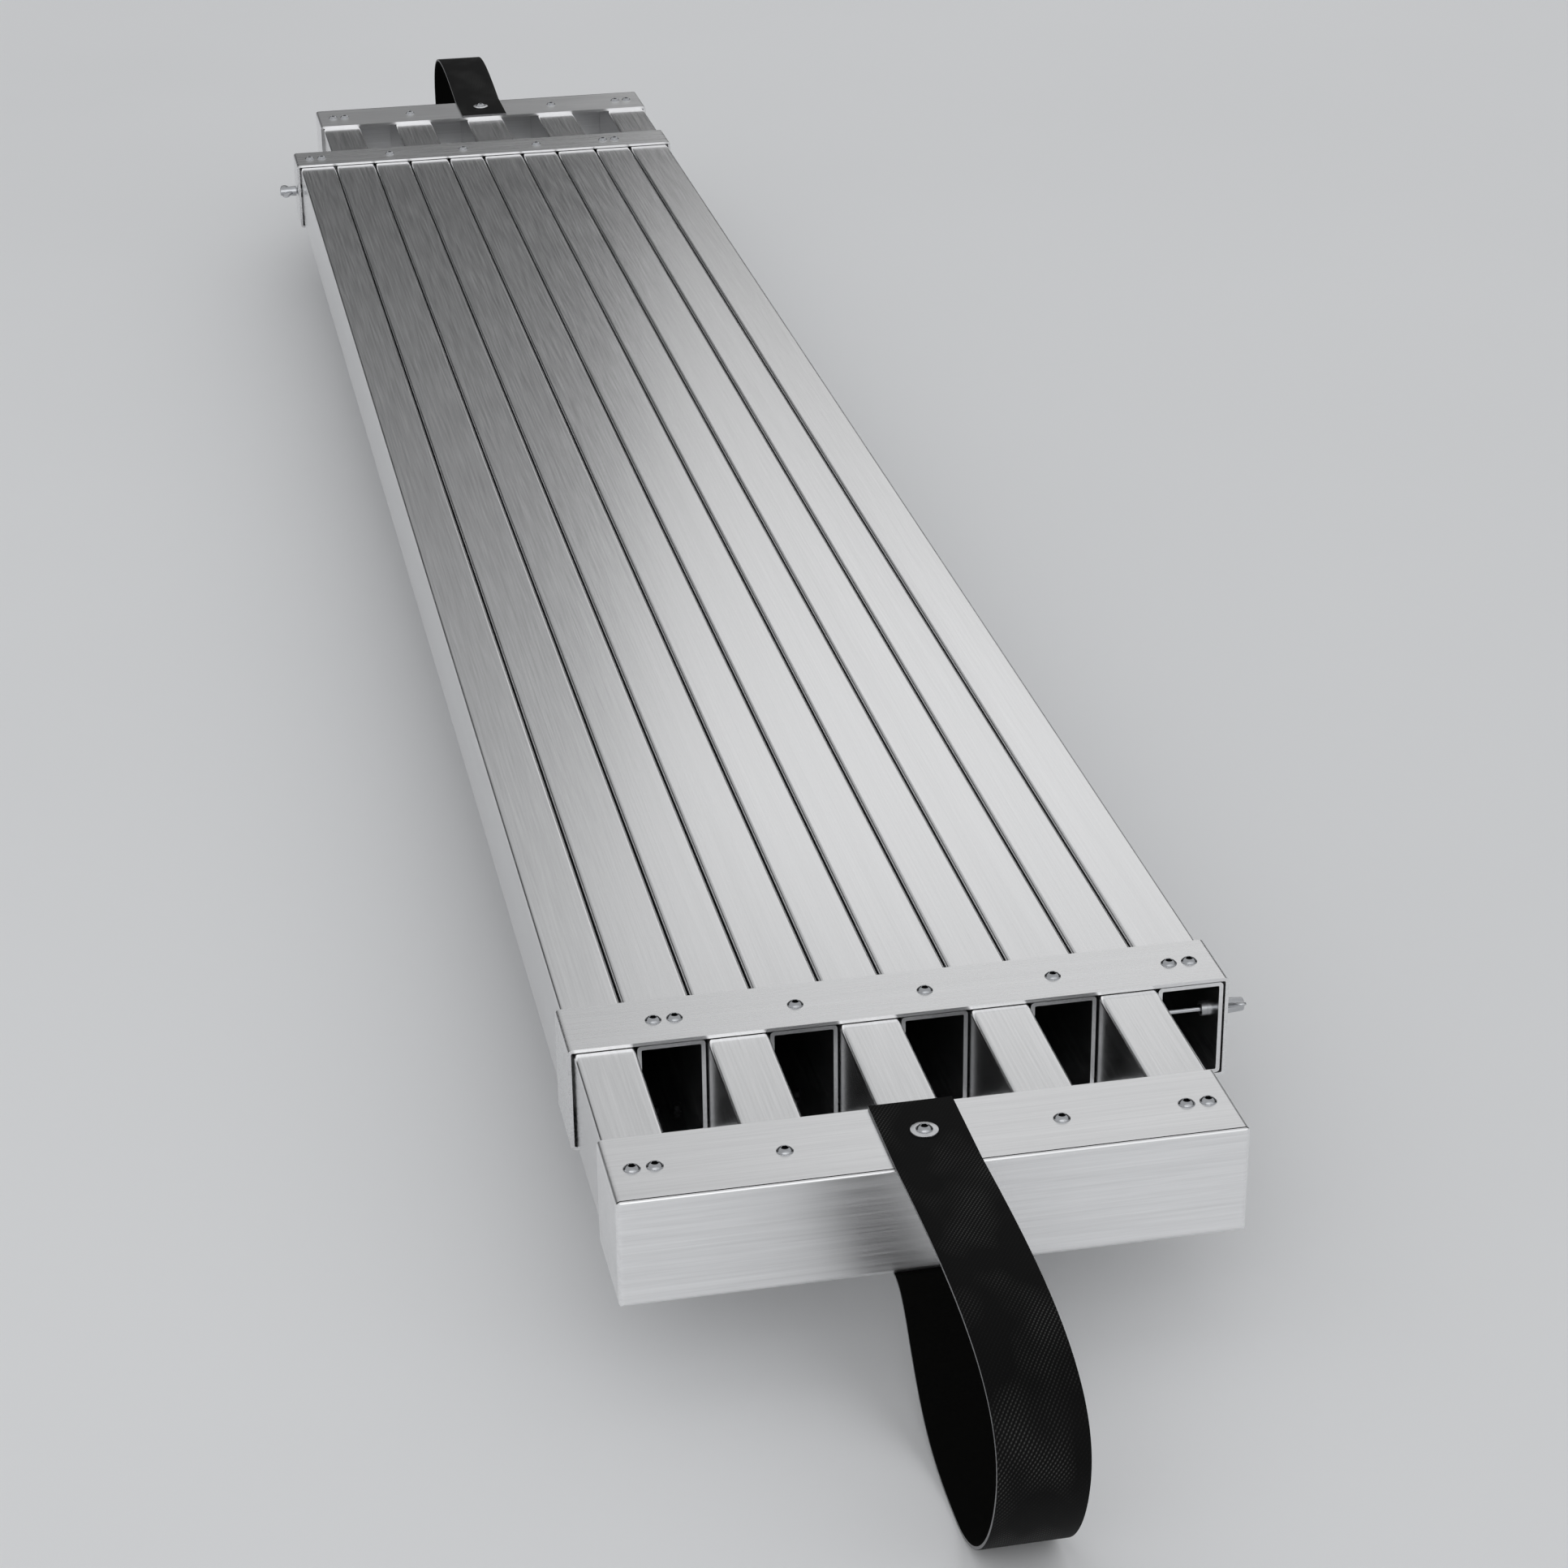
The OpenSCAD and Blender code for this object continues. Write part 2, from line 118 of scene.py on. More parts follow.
def bands(rings: Array, count: int) -> Array:
    """Faces that join point j of a ring to point j + 1 and to both in the next ring.

    Args:
        rings: array of shape (rings, steps, 3).
        count: number of bands, which is the number of rings where the last joins the first.

    Returns:
        Array of shape (faces, 4) of point numbers.
    """
    total, steps = rings.shape[:2]
    i, j = np.meshgrid(np.arange(count), np.arange(steps), indexing="ij")
    n, k = (i + 1) % total, (j + 1) % steps
    return np.stack([i * steps + j, i * steps + k, n * steps + k, n * steps + j], axis=-1).reshape(-1, 4)


@dataclass
class Shell:
    """Closed surface as arrays: points, four-sided faces and three-sided faces, each face in a slot."""

    points: Array
    quads: Array
    tris: Array
    quad_slots: Array
    tri_slots: Array

    @classmethod
    def from_rings(cls, rings: Array, slots: Array | None = None) -> "Shell":
        """Surface through a stack of rings, closed by a fan at each end that meets at its ring's mean.

        Args:
            rings: array of shape (rings, steps, 3).
            slots: material slot of the first fan, of each band between two rings and of the last fan.

        Returns:
            The shell, with its faces turned outwards.
        """
        count, steps = rings.shape[:2]
        points = np.concatenate([rings.reshape(-1, 3), rings[:1].mean(axis=1), rings[-1:].mean(axis=1)])
        step, after = np.arange(steps), (np.arange(steps) + 1) % steps
        last = (count - 1) * steps
        first = np.stack([np.full(steps, count * steps), after, step], axis=-1)
        final = np.stack([np.full(steps, count * steps + 1), last + step, last + after], axis=-1)
        tris = np.concatenate([first, final])
        slots = np.repeat(np.zeros(count + 1, int) if slots is None else slots, steps)
        fans = np.concatenate([slots[:steps], slots[-steps:]])
        return cls(points, bands(rings, count - 1), tris, slots[steps:-steps], fans).outward()

    @classmethod
    def from_loop(cls, rings: Array) -> "Shell":
        """Surface through rings that close on themselves, as in a washer.

        Args:
            rings: array of shape (rings, steps, 3), whose last ring joins its first.

        Returns:
            The shell, with its faces turned outwards.
        """
        quads = bands(rings, len(rings))
        tris = np.zeros((0, 3), int)
        return cls(rings.reshape(-1, 3), quads, tris, np.zeros(len(quads), int), tris[:, 0]).outward()

    def outward(self) -> "Shell":
        """The same shell with its faces turned so that the volume they enclose is positive.

        The volume is the sum, over the triangles, of the triple product of their corners over six.
        """
        fans = np.concatenate([self.quads[:, [0, 1, 2]], self.quads[:, [0, 2, 3]], self.tris])
        a, b, c = (self.points[fans[:, n]] for n in range(3))
        if np.einsum("ij,ij->i", a, np.cross(b, c)).sum() < 0.0:
            return Shell(self.points, self.quads[:, ::-1], self.tris[:, ::-1], self.quad_slots, self.tri_slots)
        return self

    def placed(self, turn: Array, at: Array) -> "Shell":
        """Copies of the shell, turned alike and set at several places.

        Args:
            turn: matrix of shape (3, 3) whose columns are the new directions of the local axes.
            at: places, of shape (copies, 3).

        Returns:
            One shell that holds all the copies.
        """
        at = np.atleast_2d(at)
        count = len(self.points)
        points = (self.points @ turn.T)[None, :, :] + at[:, None, :]
        shift = (np.arange(len(at)) * count)[:, None, None]
        quads, tris = (f[None, :, :] + shift for f in (self.quads, self.tris))
        slots = (np.tile(s, len(at)) for s in (self.quad_slots, self.tri_slots))
        return Shell(points.reshape(-1, 3), quads.reshape(-1, 4), tris.reshape(-1, 3), *slots).outward()

    def joined(self, *others: "Shell") -> "Shell":
        """This shell and others as one, each kept as a closed surface of its own."""
        shells = (self, *others)
        shift = np.cumsum([0] + [len(s.points) for s in shells[:-1]])
        return Shell(
            np.concatenate([s.points for s in shells]),
            np.concatenate([s.quads + n for s, n in zip(shells, shift)]),
            np.concatenate([s.tris + n for s, n in zip(shells, shift)]),
            np.concatenate([s.quad_slots for s in shells]),
            np.concatenate([s.tri_slots for s in shells]),
        )

    def to_mesh(self, name: str, crease_deg: float = 34.0) -> bpy.types.Mesh:
        """Mesh of the shell, smooth except across edges that turn more than an angle.

        Args:
            name: the mesh's name.
            crease_deg: angle in degrees past which an edge stays sharp.

        Returns:
            The new mesh.
        """
        mesh = bpy.data.meshes.new(name)
        mesh.from_pydata(self.points.tolist(), [], self.quads.tolist() + self.tris.tolist())
        mesh.polygons.foreach_set("use_smooth", np.ones(len(mesh.polygons), bool))
        mesh.polygons.foreach_set("material_index", np.concatenate([self.quad_slots, self.tri_slots]))
        mesh.set_sharp_from_angle(angle=math.radians(crease_deg))
        mesh.update()
        return mesh


def level(steps: int, *rows: Array | list[float]) -> tuple[Array, ...]:
    """Each row of values as rings that hold one value all the way round."""
    return tuple(np.outer(values, np.ones(steps)) for values in rows)


def revolve(radius: Array, height: Array) -> Array:
    """Rings about the Z axis: a point is (r cos a, r sin a, z) for a full turn of the angle a.

    Args:
        radius: radii, of shape (rings, steps).
        height: heights, of the same shape.

    Returns:
        Array of shape (rings, steps, 3).
    """
    steps = radius.shape[1]
    angle = np.arange(steps) * TURN / steps
    return np.stack([radius * np.cos(angle), radius * np.sin(angle), height], axis=-1)


def hexagon(apothem: float, steps: int) -> Array:
    """Radius of a hexagon by angle: the apothem over the cosine of the angle from the nearest flat."""
    angle = np.arange(steps) * TURN / steps
    return apothem / np.cos(np.mod(angle, TURN / 6.0) - TURN / 12.0)


@dataclass(frozen=True)
class Thread:
    """Threaded shank that runs down from a height."""

    radius: float
    pitch: float
    depth_share: float = 0.55
    narrowing: float = 0.18
    rows_per_turn: int = 6
    least_rows: int = 8

    def rings(self, top: float, length: float, steps: int) -> tuple[Array, Array]:
        """Rings of the shank.

        The radius falls from the crest by the thread's depth times a triangle wave of height over
        pitch plus share of a turn, so the crest climbs one pitch in each turn. The wave fades in
        over the first pitch, and the shank narrows over its last.

        Args:
            top: height of the shank's upper end.
            length: length of the shank.
            steps: points in a ring.

        Returns:
            Radii and heights, each of shape (rings, steps).
        """
        rows = max(int(length / self.pitch * self.rows_per_turn), self.least_rows)
        down = np.linspace(0.0, length, rows)[:, None]
        share = np.arange(steps)[None, :] / steps
        wave = np.abs(np.mod(down / self.pitch + share, 1.0) * 2.0 - 1.0)
        fade = np.clip(down / self.pitch, *UNIT)
        narrow = self.narrowing * self.radius * np.clip((down - length + self.pitch) / self.pitch, *UNIT)
        radii = self.radius - self.depth_share * self.pitch * wave * fade - narrow
        return radii, np.broadcast_to(top - down, radii.shape)


# Finishes


class Graph:
    """Node tree of a material or a world, with short calls that add nodes and join them."""

    def __init__(self, owner: Material | bpy.types.World, shader: str = "BSDF_PRINCIPLED") -> None:
        """Opens the tree.

        Args:
            owner: the material or the world.
            shader: type of its shader node.
        """
        owner.use_nodes = True
        self.tree = owner.node_tree
        self.shader = next(n for n in self.tree.nodes if n.type == shader)

    def add(self, kind: str, inputs: dict | None = None, **settings: object) -> bpy.types.Node:
        """Adds a node.

        Args:
            kind: the node's type, without its "ShaderNode" prefix.
            inputs: what feeds its inputs, by their names or numbers.
            settings: properties of the node.

        Returns:
            The new node.
        """
        node = self.tree.nodes.new(f"ShaderNode{kind}")
        for key, value in settings.items():
            setattr(node, key, value)
        for key, source in (inputs or {}).items():
            self.feed(node.inputs[key], source)
        return node

    def feed(self, target: Socket, source: Socket | float | tuple) -> None:
        """Links an output to an input, or gives the input a value."""
        if isinstance(source, Socket):
            self.tree.links.new(source, target)
        else:
            target.default_value = source

    def surface(self, **inputs: Socket | float | tuple) -> None:
        """Feeds inputs of the shader, named with _ for a space."""
        for key, source in inputs.items():
            self.feed(self.shader.inputs[key.replace("_", " ")], source)

    def mapped(self, scale: Triple, source: str = "Object", turn: float = 0.0) -> Socket:
        """Coordinates stretched by a scale and turned about Z by an angle in radians."""
        place = self.add("TexCoord").outputs[source]
        return self.add("Mapping", {"Vector": place, "Scale": scale, "Rotation": (0.0, 0.0, turn)}).outputs[0]

    def noise(self, vector: Socket, detail: float, rough: float, twist: float = 0.0) -> Socket:
        """Noise of scale 1 in the given coordinates, from 0 to 1 about 0.5."""
        inputs = {"Vector": vector, "Scale": 1.0, "Detail": detail, "Roughness": rough, "Distortion": twist}
        return self.add("TexNoise", inputs).outputs["Fac"]

    def ranged(self, value: Socket, span: Pair, into: Pair, curve: str = "LINEAR") -> Socket:
        """A value carried from one span into another along a curve, and held at its ends."""
        names = ("Value", "From Min", "From Max", "To Min", "To Max")
        inputs = dict(zip(names, (value, *span, *into)))
        return self.add("MapRange", inputs, interpolation_type=curve).outputs["Result"]

    def math(self, operation: str, first: Socket, second: Socket | float = 0.0) -> Socket:
        """Result of one arithmetic operation on a socket and a socket or number."""
        return self.add("Math", {0: first, 1: second}, operation=operation).outputs[0]

    def blend(self, share: Socket, low: Socket | Triple, high: Triple) -> Socket:
        """Colour between two by a share from 0 to 1, where the first may come from a socket."""
        node = self.add("Mix", {"Factor": share}, data_type="RGBA")
        ends = [i for i in node.inputs if i.type == "RGBA"]
        for end, colour in zip(ends, (low, high)):
            self.feed(end, (*colour, 1.0) if isinstance(colour, tuple) else colour)
        return next(s for s in node.outputs if s.type == "RGBA")

    def bump(self, height: Socket, depth: float) -> None:
        """Raises the surface by a height from 0 to 1 times a depth in metres."""
        node = self.add("Bump", {"Height": height, "Strength": 1.0, "Distance": depth})
        self.surface(Normal=node.outputs["Normal"])


def shade(colour: Triple, factor: float) -> Triple:
    """A colour made lighter or darker by a factor."""
    return tuple(min(1.0, c * factor) for c in colour)


def even(scale: float) -> Triple:
    """The same scale along all three axes."""
    return (scale, scale, scale)


@dataclass(frozen=True)
class Finish:
    """A material that each kind of finish paints in its own way."""

    name: str

    def build(self) -> Material:
        """Makes the material.

        Returns:
            The finished material.
        """
        material = bpy.data.materials.new(self.name)
        self.paint(Graph(material))
        return material

    def paint(self, graph: Graph) -> None:
        """Adds the finish's nodes to a graph."""
        raise NotImplementedError


@dataclass(frozen=True)
class Seam:
    """Painted shade inside the groove that runs across the top of both caps, just behind their front edges."""

    lip: float = 1.2 * MM
    width: float = 0.8 * MM
    depth: float = 0.9 * MM
    reach: float = 0.52
    below: float = 0.1 * MM
    # near-black colour put into the groove as painted shade
    colour: Triple = (0.012, 0.012, 0.012)

    def mask(self, graph: Graph) -> Socket:
        """One on the groove's walls and floor, and nought elsewhere.

        Both grooves lie at the same distance from the plank's middle, which the near cap's box gives.

        Args:
            graph: the material's node tree.

        Returns:
            The mask.
        """
        low, high = box("near_cap")
        distance = abs(low[1]) - self.lip - self.width / 2
        parts = graph.add("SeparateXYZ", {"Vector": graph.mapped(even(1.0))})
        away = graph.math("ABSOLUTE", parts.outputs["Y"])
        off = graph.math("ABSOLUTE", graph.math("SUBTRACT", away, distance))
        near = graph.math("LESS_THAN", off, self.width * self.reach)
        above = graph.math("GREATER_THAN", parts.outputs["Z"], high[2] - self.depth - self.below)
        return graph.math("MULTIPLY", near, above)


@dataclass(frozen=True)
class BrushedAluminium(Finish):
    """Aluminium drawn or brushed in one direction.

    Three layers of noise are stretched along the grain: hairlines, strokes and broad bands. They
    shift the colour, the strokes shift the roughness a little, and the hairlines cut shallow
    furrows. A seam, where there is one, is painted near black inside as painted shade.
    """

    grain: Grain
    colour: Triple = (0.80, 0.80, 0.805)
    roughness: float = 0.22
    contrast: float = 0.10
    furrow: float = 0.000010
    stroke_len: float = 0.07
    hair_w: float = 0.00035
    hair_longer: float = 4.0
    stroke_w: float = 0.0014
    band_w: float = 0.013
    band_longer: float = 9.0
    rough_spread: float = 0.03
    seam_shade: Seam | None = None

    def paint(self, graph: Graph) -> None:
        """Adds the finish's nodes.

        Args:
            graph: the material's node tree.
        """
        hair = graph.noise(graph.mapped(self.stretch(self.hair_w, self.hair_longer)), 2.0, 0.6)
        stroke = graph.noise(graph.mapped(self.stretch(self.stroke_w)), 3.0, 0.6, 0.2)
        band = graph.noise(graph.mapped(self.stretch(self.band_w, self.band_longer)), 2.0, 0.5)
        fine = graph.math("ADD", graph.math("MULTIPLY", hair, 0.3), graph.math("MULTIPLY", stroke, 0.7))
        tone = graph.math("ADD", graph.math("MULTIPLY", fine, 0.8), graph.math("MULTIPLY", band, 0.2))
        share = graph.ranged(tone, (0.32, 0.68), UNIT)
        dull, bright = (shade(self.colour, 1.0 + sign * self.contrast) for sign in (-1.0, 1.0))
        colour = graph.blend(share, dull, bright)
        if self.seam_shade:
            # painted shade: the caps' seam groove is coloured near black
            colour = graph.blend(self.seam_shade.mask(graph), colour, self.seam_shade.colour)
        spread = (self.roughness - self.rough_spread, self.roughness + self.rough_spread)
        graph.surface(Base_Color=colour, Roughness=graph.ranged(stroke, CORE, spread), Metallic=1.0)
        graph.bump(hair, self.furrow)

    def stretch(self, width: float, longer: float = 1.0) -> Triple:
        """Scale of a noise whose marks are a width wide and a number of strokes long."""
        across, along = 1.0 / width, 1.0 / (self.stroke_len * longer)
        return (across, along, across) if self.grain is Grain.ALONG else (along, across, across)


@dataclass(frozen=True)
class Mottled(Finish):
    """A finish whose colour and roughness both follow one noise.

    The colour goes from its darker to its lighter shade, and the roughness from its first value to
    its second. The surface is raised by the same noise, or by a finer grit where there is one.
    """

    colour: Triple
    shades: Pair
    roughness: Pair
    scale: Triple
    detail: Pair = (3.0, 0.6)
    span: Pair = CORE
    relief: float = 0.0
    grit_scale: float = 0.0
    metallic: float = 0.0
    specular: float = 0.5

    def paint(self, graph: Graph) -> None:
        """Adds the finish's nodes.

        Args:
            graph: the material's node tree.
        """
        mottle = graph.noise(graph.mapped(self.scale), *self.detail)
        share = graph.ranged(mottle, self.span, UNIT)
        colour = graph.blend(share, *(shade(self.colour, factor) for factor in self.shades))
        rough = graph.ranged(mottle, CORE, self.roughness)
        graph.surface(Base_Color=colour, Roughness=rough)
        graph.surface(Metallic=self.metallic, Specular_IOR_Level=self.specular)
        if self.grit_scale:
            mottle = graph.noise(graph.mapped(even(self.grit_scale)), 2.0, 0.5)
        if self.relief:
            graph.bump(mottle, self.relief)


@dataclass(frozen=True)
class PolishedSteel(Mottled):
    """Plated or stainless steel of a small part, with faint smudges and pits."""

    shades: Pair = (0.9, 1.06)
    roughness: Pair = (0.12, 0.22)
    scale: Triple = even(260.0)
    relief: float = 0.00001
    grit_scale: float = 2600.0
    metallic: float = 1.0


@dataclass(frozen=True)
class TurnedBrass(Mottled):
    """Tarnished brass faced on a lathe, with fine rings about its axis."""

    colour: Triple = (0.70, 0.52, 0.26)
    shades: Pair = (0.72, 1.05)
    roughness: Pair = (0.24, 0.42)
    scale: Triple = even(180.0)
    detail: Pair = (4.0, 0.6)
    metallic: float = 1.0
    ring: float = 0.0003
    ring_depth: float = 0.00002

    def paint(self, graph: Graph) -> None:
        """Adds the tarnish and the rings.

        Args:
            graph: the material's node tree.
        """
        super().paint(graph)
        inputs = {"Vector": graph.mapped(even(1.0)), "Scale": WAVE / self.ring, "Distortion": 0.6}
        wave = graph.add("TexWave", inputs, bands_direction="X")
        graph.bump(wave.outputs["Fac"], self.ring_depth)


@dataclass(frozen=True)
class EmbossedLeather(Finish):
    """Black leather with rows of small beads pressed into it.

    The rows slant across the strap and are cut into beads by a second set of waves that crosses
    them. Both follow the strap's own width and length. Broad noise lets the pattern come and go.
    """

    colour: Triple = (0.0018, 0.0018, 0.0018)
    # painted highlight on the tops of the beads
    bead_highlight_colour: Triple = (0.055, 0.055, 0.053)
    pitch: float = 0.00175
    depth: float = 0.00012
    row_turn: float = math.radians(57.0)
    bead_turn: float = math.radians(136.0)
    patch_scale: Triple = (22.0, 14.0, 22.0)

    def paint(self, graph: Graph) -> None:
        """Adds the finish's nodes.

        Args:
            graph: the material's node tree.
        """
        rows = graph.ranged(self.waves(graph, self.row_turn), (0.45, 0.98), UNIT)
        beads = graph.ranged(self.waves(graph, self.bead_turn), (0.25, 0.9), (0.18, 1.0))
        cloud = graph.noise(graph.mapped(self.patch_scale, "UV"), 2.0, 0.5)
        patch = graph.ranged(cloud, (0.46, 0.60), (0.06, 1.0))
        height = graph.math("MULTIPLY", graph.math("MULTIPLY", rows, beads), patch)
        # the beads' lighter grey over the black stands in for light on their tops: painted highlight
        colour = graph.blend(height, self.colour, self.bead_highlight_colour)
        rough = graph.ranged(height, UNIT, (0.62, 0.44))
        graph.surface(Base_Color=colour, Roughness=rough, Specular_IOR_Level=0.08)
        graph.bump(height, self.depth)

    def waves(self, graph: Graph, turn: float) -> Socket:
        """Parallel waves a pitch apart, turned from the strap's length by an angle in radians."""
        inputs = {"Scale": WAVE / self.pitch, "Distortion": 1.1, "Detail": 2.0, "Detail Scale": 0.5}
        inputs["Vector"] = graph.mapped(even(1.0), "UV", turn)
        return graph.add("TexWave", inputs, bands_direction="Y").outputs["Fac"]


@dataclass(frozen=True)
class LeatherBack(Mottled):
    """Black, nearly lightless inner side of the leather."""

    colour: Triple = (0.0016, 0.0016, 0.0014)
    shades: Pair = (0.6, 1.8)
    roughness: Pair = (0.8, 0.92)
    scale: Triple = even(700.0)
    relief: float = 0.00004
    specular: float = 0.05


@dataclass(frozen=True)
class PaintedHighlightLeatherEdge(Mottled):
    """Cut edge of the leather, more fibrous than its face, coloured a lighter grey as a painted highlight where the
    edge catches light.
    """

    colour: Triple = (0.16, 0.16, 0.165)
    shades: Pair = (0.6, 1.5)
    roughness: Pair = (0.45, 0.65)
    scale: Triple = (900.0, 220.0, 900.0)
    detail: Pair = (4.0, 0.7)
    relief: float = 0.00005


@dataclass(frozen=True)
class PaleFloor(Mottled):
    """Matt pale studio floor with a barely uneven tone."""

    colour: Triple = (0.87, 0.875, 0.885)
    shades: Pair = (0.985, 1.015)
    roughness: Pair = (0.55, 0.62)
    scale: Triple = even(1.3)
    detail: Pair = (3.0, 0.5)
    span: Pair = UNIT
    specular: float = 0.3


class Finishes:
    """Every finish on the plank, each made once."""

    def __init__(self) -> None:
        """Makes all the finishes."""
        across = Grain.ACROSS
        # The caps' colour is lighter than the collars' and rails' as painted light, to brighten the cap front; their
        # seam is painted shade.
        caps = BrushedAluminium("brushed_caps", across, (0.90, 0.90, 0.905), 0.31, 0.09, seam_shade=Seam())
        self.caps = caps.build()
        self.collars = BrushedAluminium("brushed_collars", across, (0.84, 0.84, 0.845), 0.28, 0.08).build()
        self.rails = BrushedAluminium("brushed_rails", Grain.ALONG).build()
        self.screws = PolishedSteel("polished_screws", (0.50, 0.51, 0.53), roughness=(0.08, 0.14)).build()
        # near-black steel for the screws' sockets and threads: painted shade in these recesses
        self.dark_steel = PolishedSteel("dark_steel", (0.02, 0.02, 0.021), roughness=(0.50, 0.60)).build()
        self.washers = PolishedSteel("satin_washers", (0.78, 0.785, 0.80), roughness=(0.26, 0.36)).build()
        self.inserts = PolishedSteel("satin_inserts", (0.60, 0.61, 0.62), roughness=(0.30, 0.40)).build()
        self.wing_bolts = PolishedSteel("plated_wing_bolts", (0.55, 0.56, 0.58)).build()
        self.pads = TurnedBrass("turned_brass_pads").build()
        self.leather = EmbossedLeather("embossed_leather").build()
        self.leather_back = LeatherBack("leather_back").build()
        # lighter grey of the cut edges: painted highlight
        self.leather_edge_highlight = PaintedHighlightLeatherEdge("cut_leather_edge").build()


def dress(node: str, material: Material) -> None:
    """Gives a node of the frame a finish in all its material slots.

    Args:
        node: name of the node.
        material: its finish.
    """
    obj = frame["nodes"][node]
    if not obj.material_slots:
        obj.data.materials.append(material)
    for slot in obj.material_slots:
        slot.material = material
    LOG.info("dressed %s in %s", node, material.name)


def link(name: str, data: bpy.types.ID) -> bpy.types.Object:
    """New object in the scene, for a mesh, a lamp or a camera."""
    obj = bpy.data.objects.new(name, data)
    bpy.context.scene.collection.objects.link(obj)
    return obj


def add_piece(node: str, mesh: bpy.types.Mesh, materials: list[Material], body: str) -> bpy.types.Object:
    """Puts a finished mesh in the scene as the piece that stands for a node of the frame.

    Args:
        node: the node that it replaces.
        mesh: its mesh, already in place.
        materials: its finishes in slot order.
        body: the body it rides on.

    Returns:
        The new object.
    """
    for material in materials:
        mesh.materials.append(material)
    piece = link(f"{node}_piece", mesh)
    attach(piece, body)
    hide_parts(node)
    LOG.info("piece %s on %s: %d faces", piece.name, body, len(mesh.polygons))
    return piece


# Fastenings


@dataclass(frozen=True)
class SocketScrew:
    """Screw with a hexagon socket, domed or countersunk, with its head's seat or face at z = 0."""

    shank_r: float = 2.5 * MM
    pitch: float = 0.8 * MM
    head_r: float = 4.4 * MM
    head_h: float = 2.6 * MM
    sink_r: float = 4.7 * MM
    sink_h: float = 2.2 * MM
    socket_apothem: float = 1.7 * MM
    socket_depth: float = 1.6 * MM
    socket_cone: float = 0.35 * MM
    socket_tip: float = 0.35
    chamfer_w: float = 0.12 * MM
    chamfer_h: float = 0.18 * MM
    mouth_rim: float = 0.14 * MM
    edge: float = 0.22 * MM
    dome_rings: int = 8
    steps: int = 36

    @property
    def mouth_r(self) -> float:
        """Radius of the round mouth that the socket's corners just reach."""
        return self.socket_apothem / math.cos(TURN / 12.0) + self.mouth_rim

    def socket(self, top: float) -> tuple[Array, Array]:
        """Rings of the socket from its cone-shaped floor up to its chamfered mouth.

        Args:
            top: height of the mouth.

        Returns:
            Radii and heights, each of shape (4, steps).
        """
        flats = hexagon(self.socket_apothem, self.steps)
        mouth = np.maximum(flats + self.chamfer_w, self.mouth_r)
        floor = top - self.socket_depth
        heights = [floor - self.socket_cone, floor, top - self.chamfer_h, top]
        return np.array([self.socket_tip * flats, flats, flats, mouth]), *level(self.steps, heights)

    def domed(self, length: float) -> Shell:
        """Domed screw that stands on z = 0.

        The dome is the cap of a sphere whose radius is (a squared plus h squared) over 2 h, for a
        head of radius a and height h.

        Args:
            length: length of the shank.

        Returns:
            The closed shell.
        """
        sphere = (self.head_r**2 + self.head_h**2) / (2.0 * self.head_h)
        top = math.sqrt(sphere**2 - self.mouth_r**2) - sphere + self.head_h
        leans = (math.asin(self.mouth_r / sphere), math.asin((self.head_r - self.edge) / sphere))
        lean = np.linspace(*leans, self.dome_rings + 1)[1:]
        rim = [self.head_r, self.head_r - self.edge / 2, self.shank_r + self.edge]
        radii = np.concatenate([sphere * np.sin(lean), rim])
        heights = np.concatenate([sphere * np.cos(lean) - sphere + self.head_h, [self.edge, 0.0, 0.0]])
        return self.finished(self.socket(top), radii, heights, 0.0, length)

    def sunk(self, length: float) -> Shell:
        """Countersunk screw whose face is at z = 0 and whose shank runs down.

        Args:
            length: length of the whole screw.

        Returns:
            The closed shell.
        """
        radii = np.array([self.sink_r - self.edge, self.sink_r, self.sink_r])
        heights = np.array([0.0, -self.edge / 2, -self.edge])
        return self.finished(self.socket(0.0), radii, heights, -self.sink_h, length)

    def finished(self, socket: tuple, radii: Array, heights: Array, top: float, length: float) -> Shell:
        """Joins a socket, a head and a threaded shank, of which the socket and shank take the second slot, a
        near-black steel that is painted shade.

        Args:
            socket: the socket's radii and heights.
            radii: radius of each ring of the head.
            heights: height of each ring of the head.
            top: height at which the shank starts.
            length: distance from z = 0 to the shank's tip.

        Returns:
            The closed shell.
        """
        shank = Thread(self.shank_r, self.pitch).rings(top, length + top, self.steps)
        head = level(self.steps, radii, heights)
        rings = revolve(*(np.concatenate(parts) for parts in zip(socket, head, shank)))
        # slot 1, the socket and the thread, takes the near-black steel of painted shade
        slots = np.ones(len(rings) + 1, int)
        sides = len(socket[0]) - 1
        slots[sides:sides + len(radii) + 2] = 0
        return Shell.from_rings(rings, slots)


@dataclass(frozen=True)
class Washer:
    """Flat washer with rounded edges."""

    outer_r: float = 7.25 * MM
    inner_r: float = 2.7 * MM
    height: float = 1.2 * MM
    edge: float = 0.3 * MM
    edge_knee: float = 0.3
    steps: int = 48

    def shell(self) -> Shell:
        """Ring whose section is a rectangle with its corners cut, standing on z = 0.

        Its upper half mirrors its lower half, point for point.

        Returns:
            The closed shell.
        """
        edge, knee = self.edge, self.edge_knee * self.edge
        half_r = np.array([self.inner_r, self.inner_r + edge, self.outer_r - edge, self.outer_r - knee, self.outer_r])
        half_z = np.array([edge, 0.0, 0.0, knee, edge])
        radii = np.concatenate([half_r, half_r[::-1]])
        heights = np.concatenate([half_z, self.height - half_z[::-1]])
        return Shell.from_loop(revolve(*level(self.steps, radii, heights)))


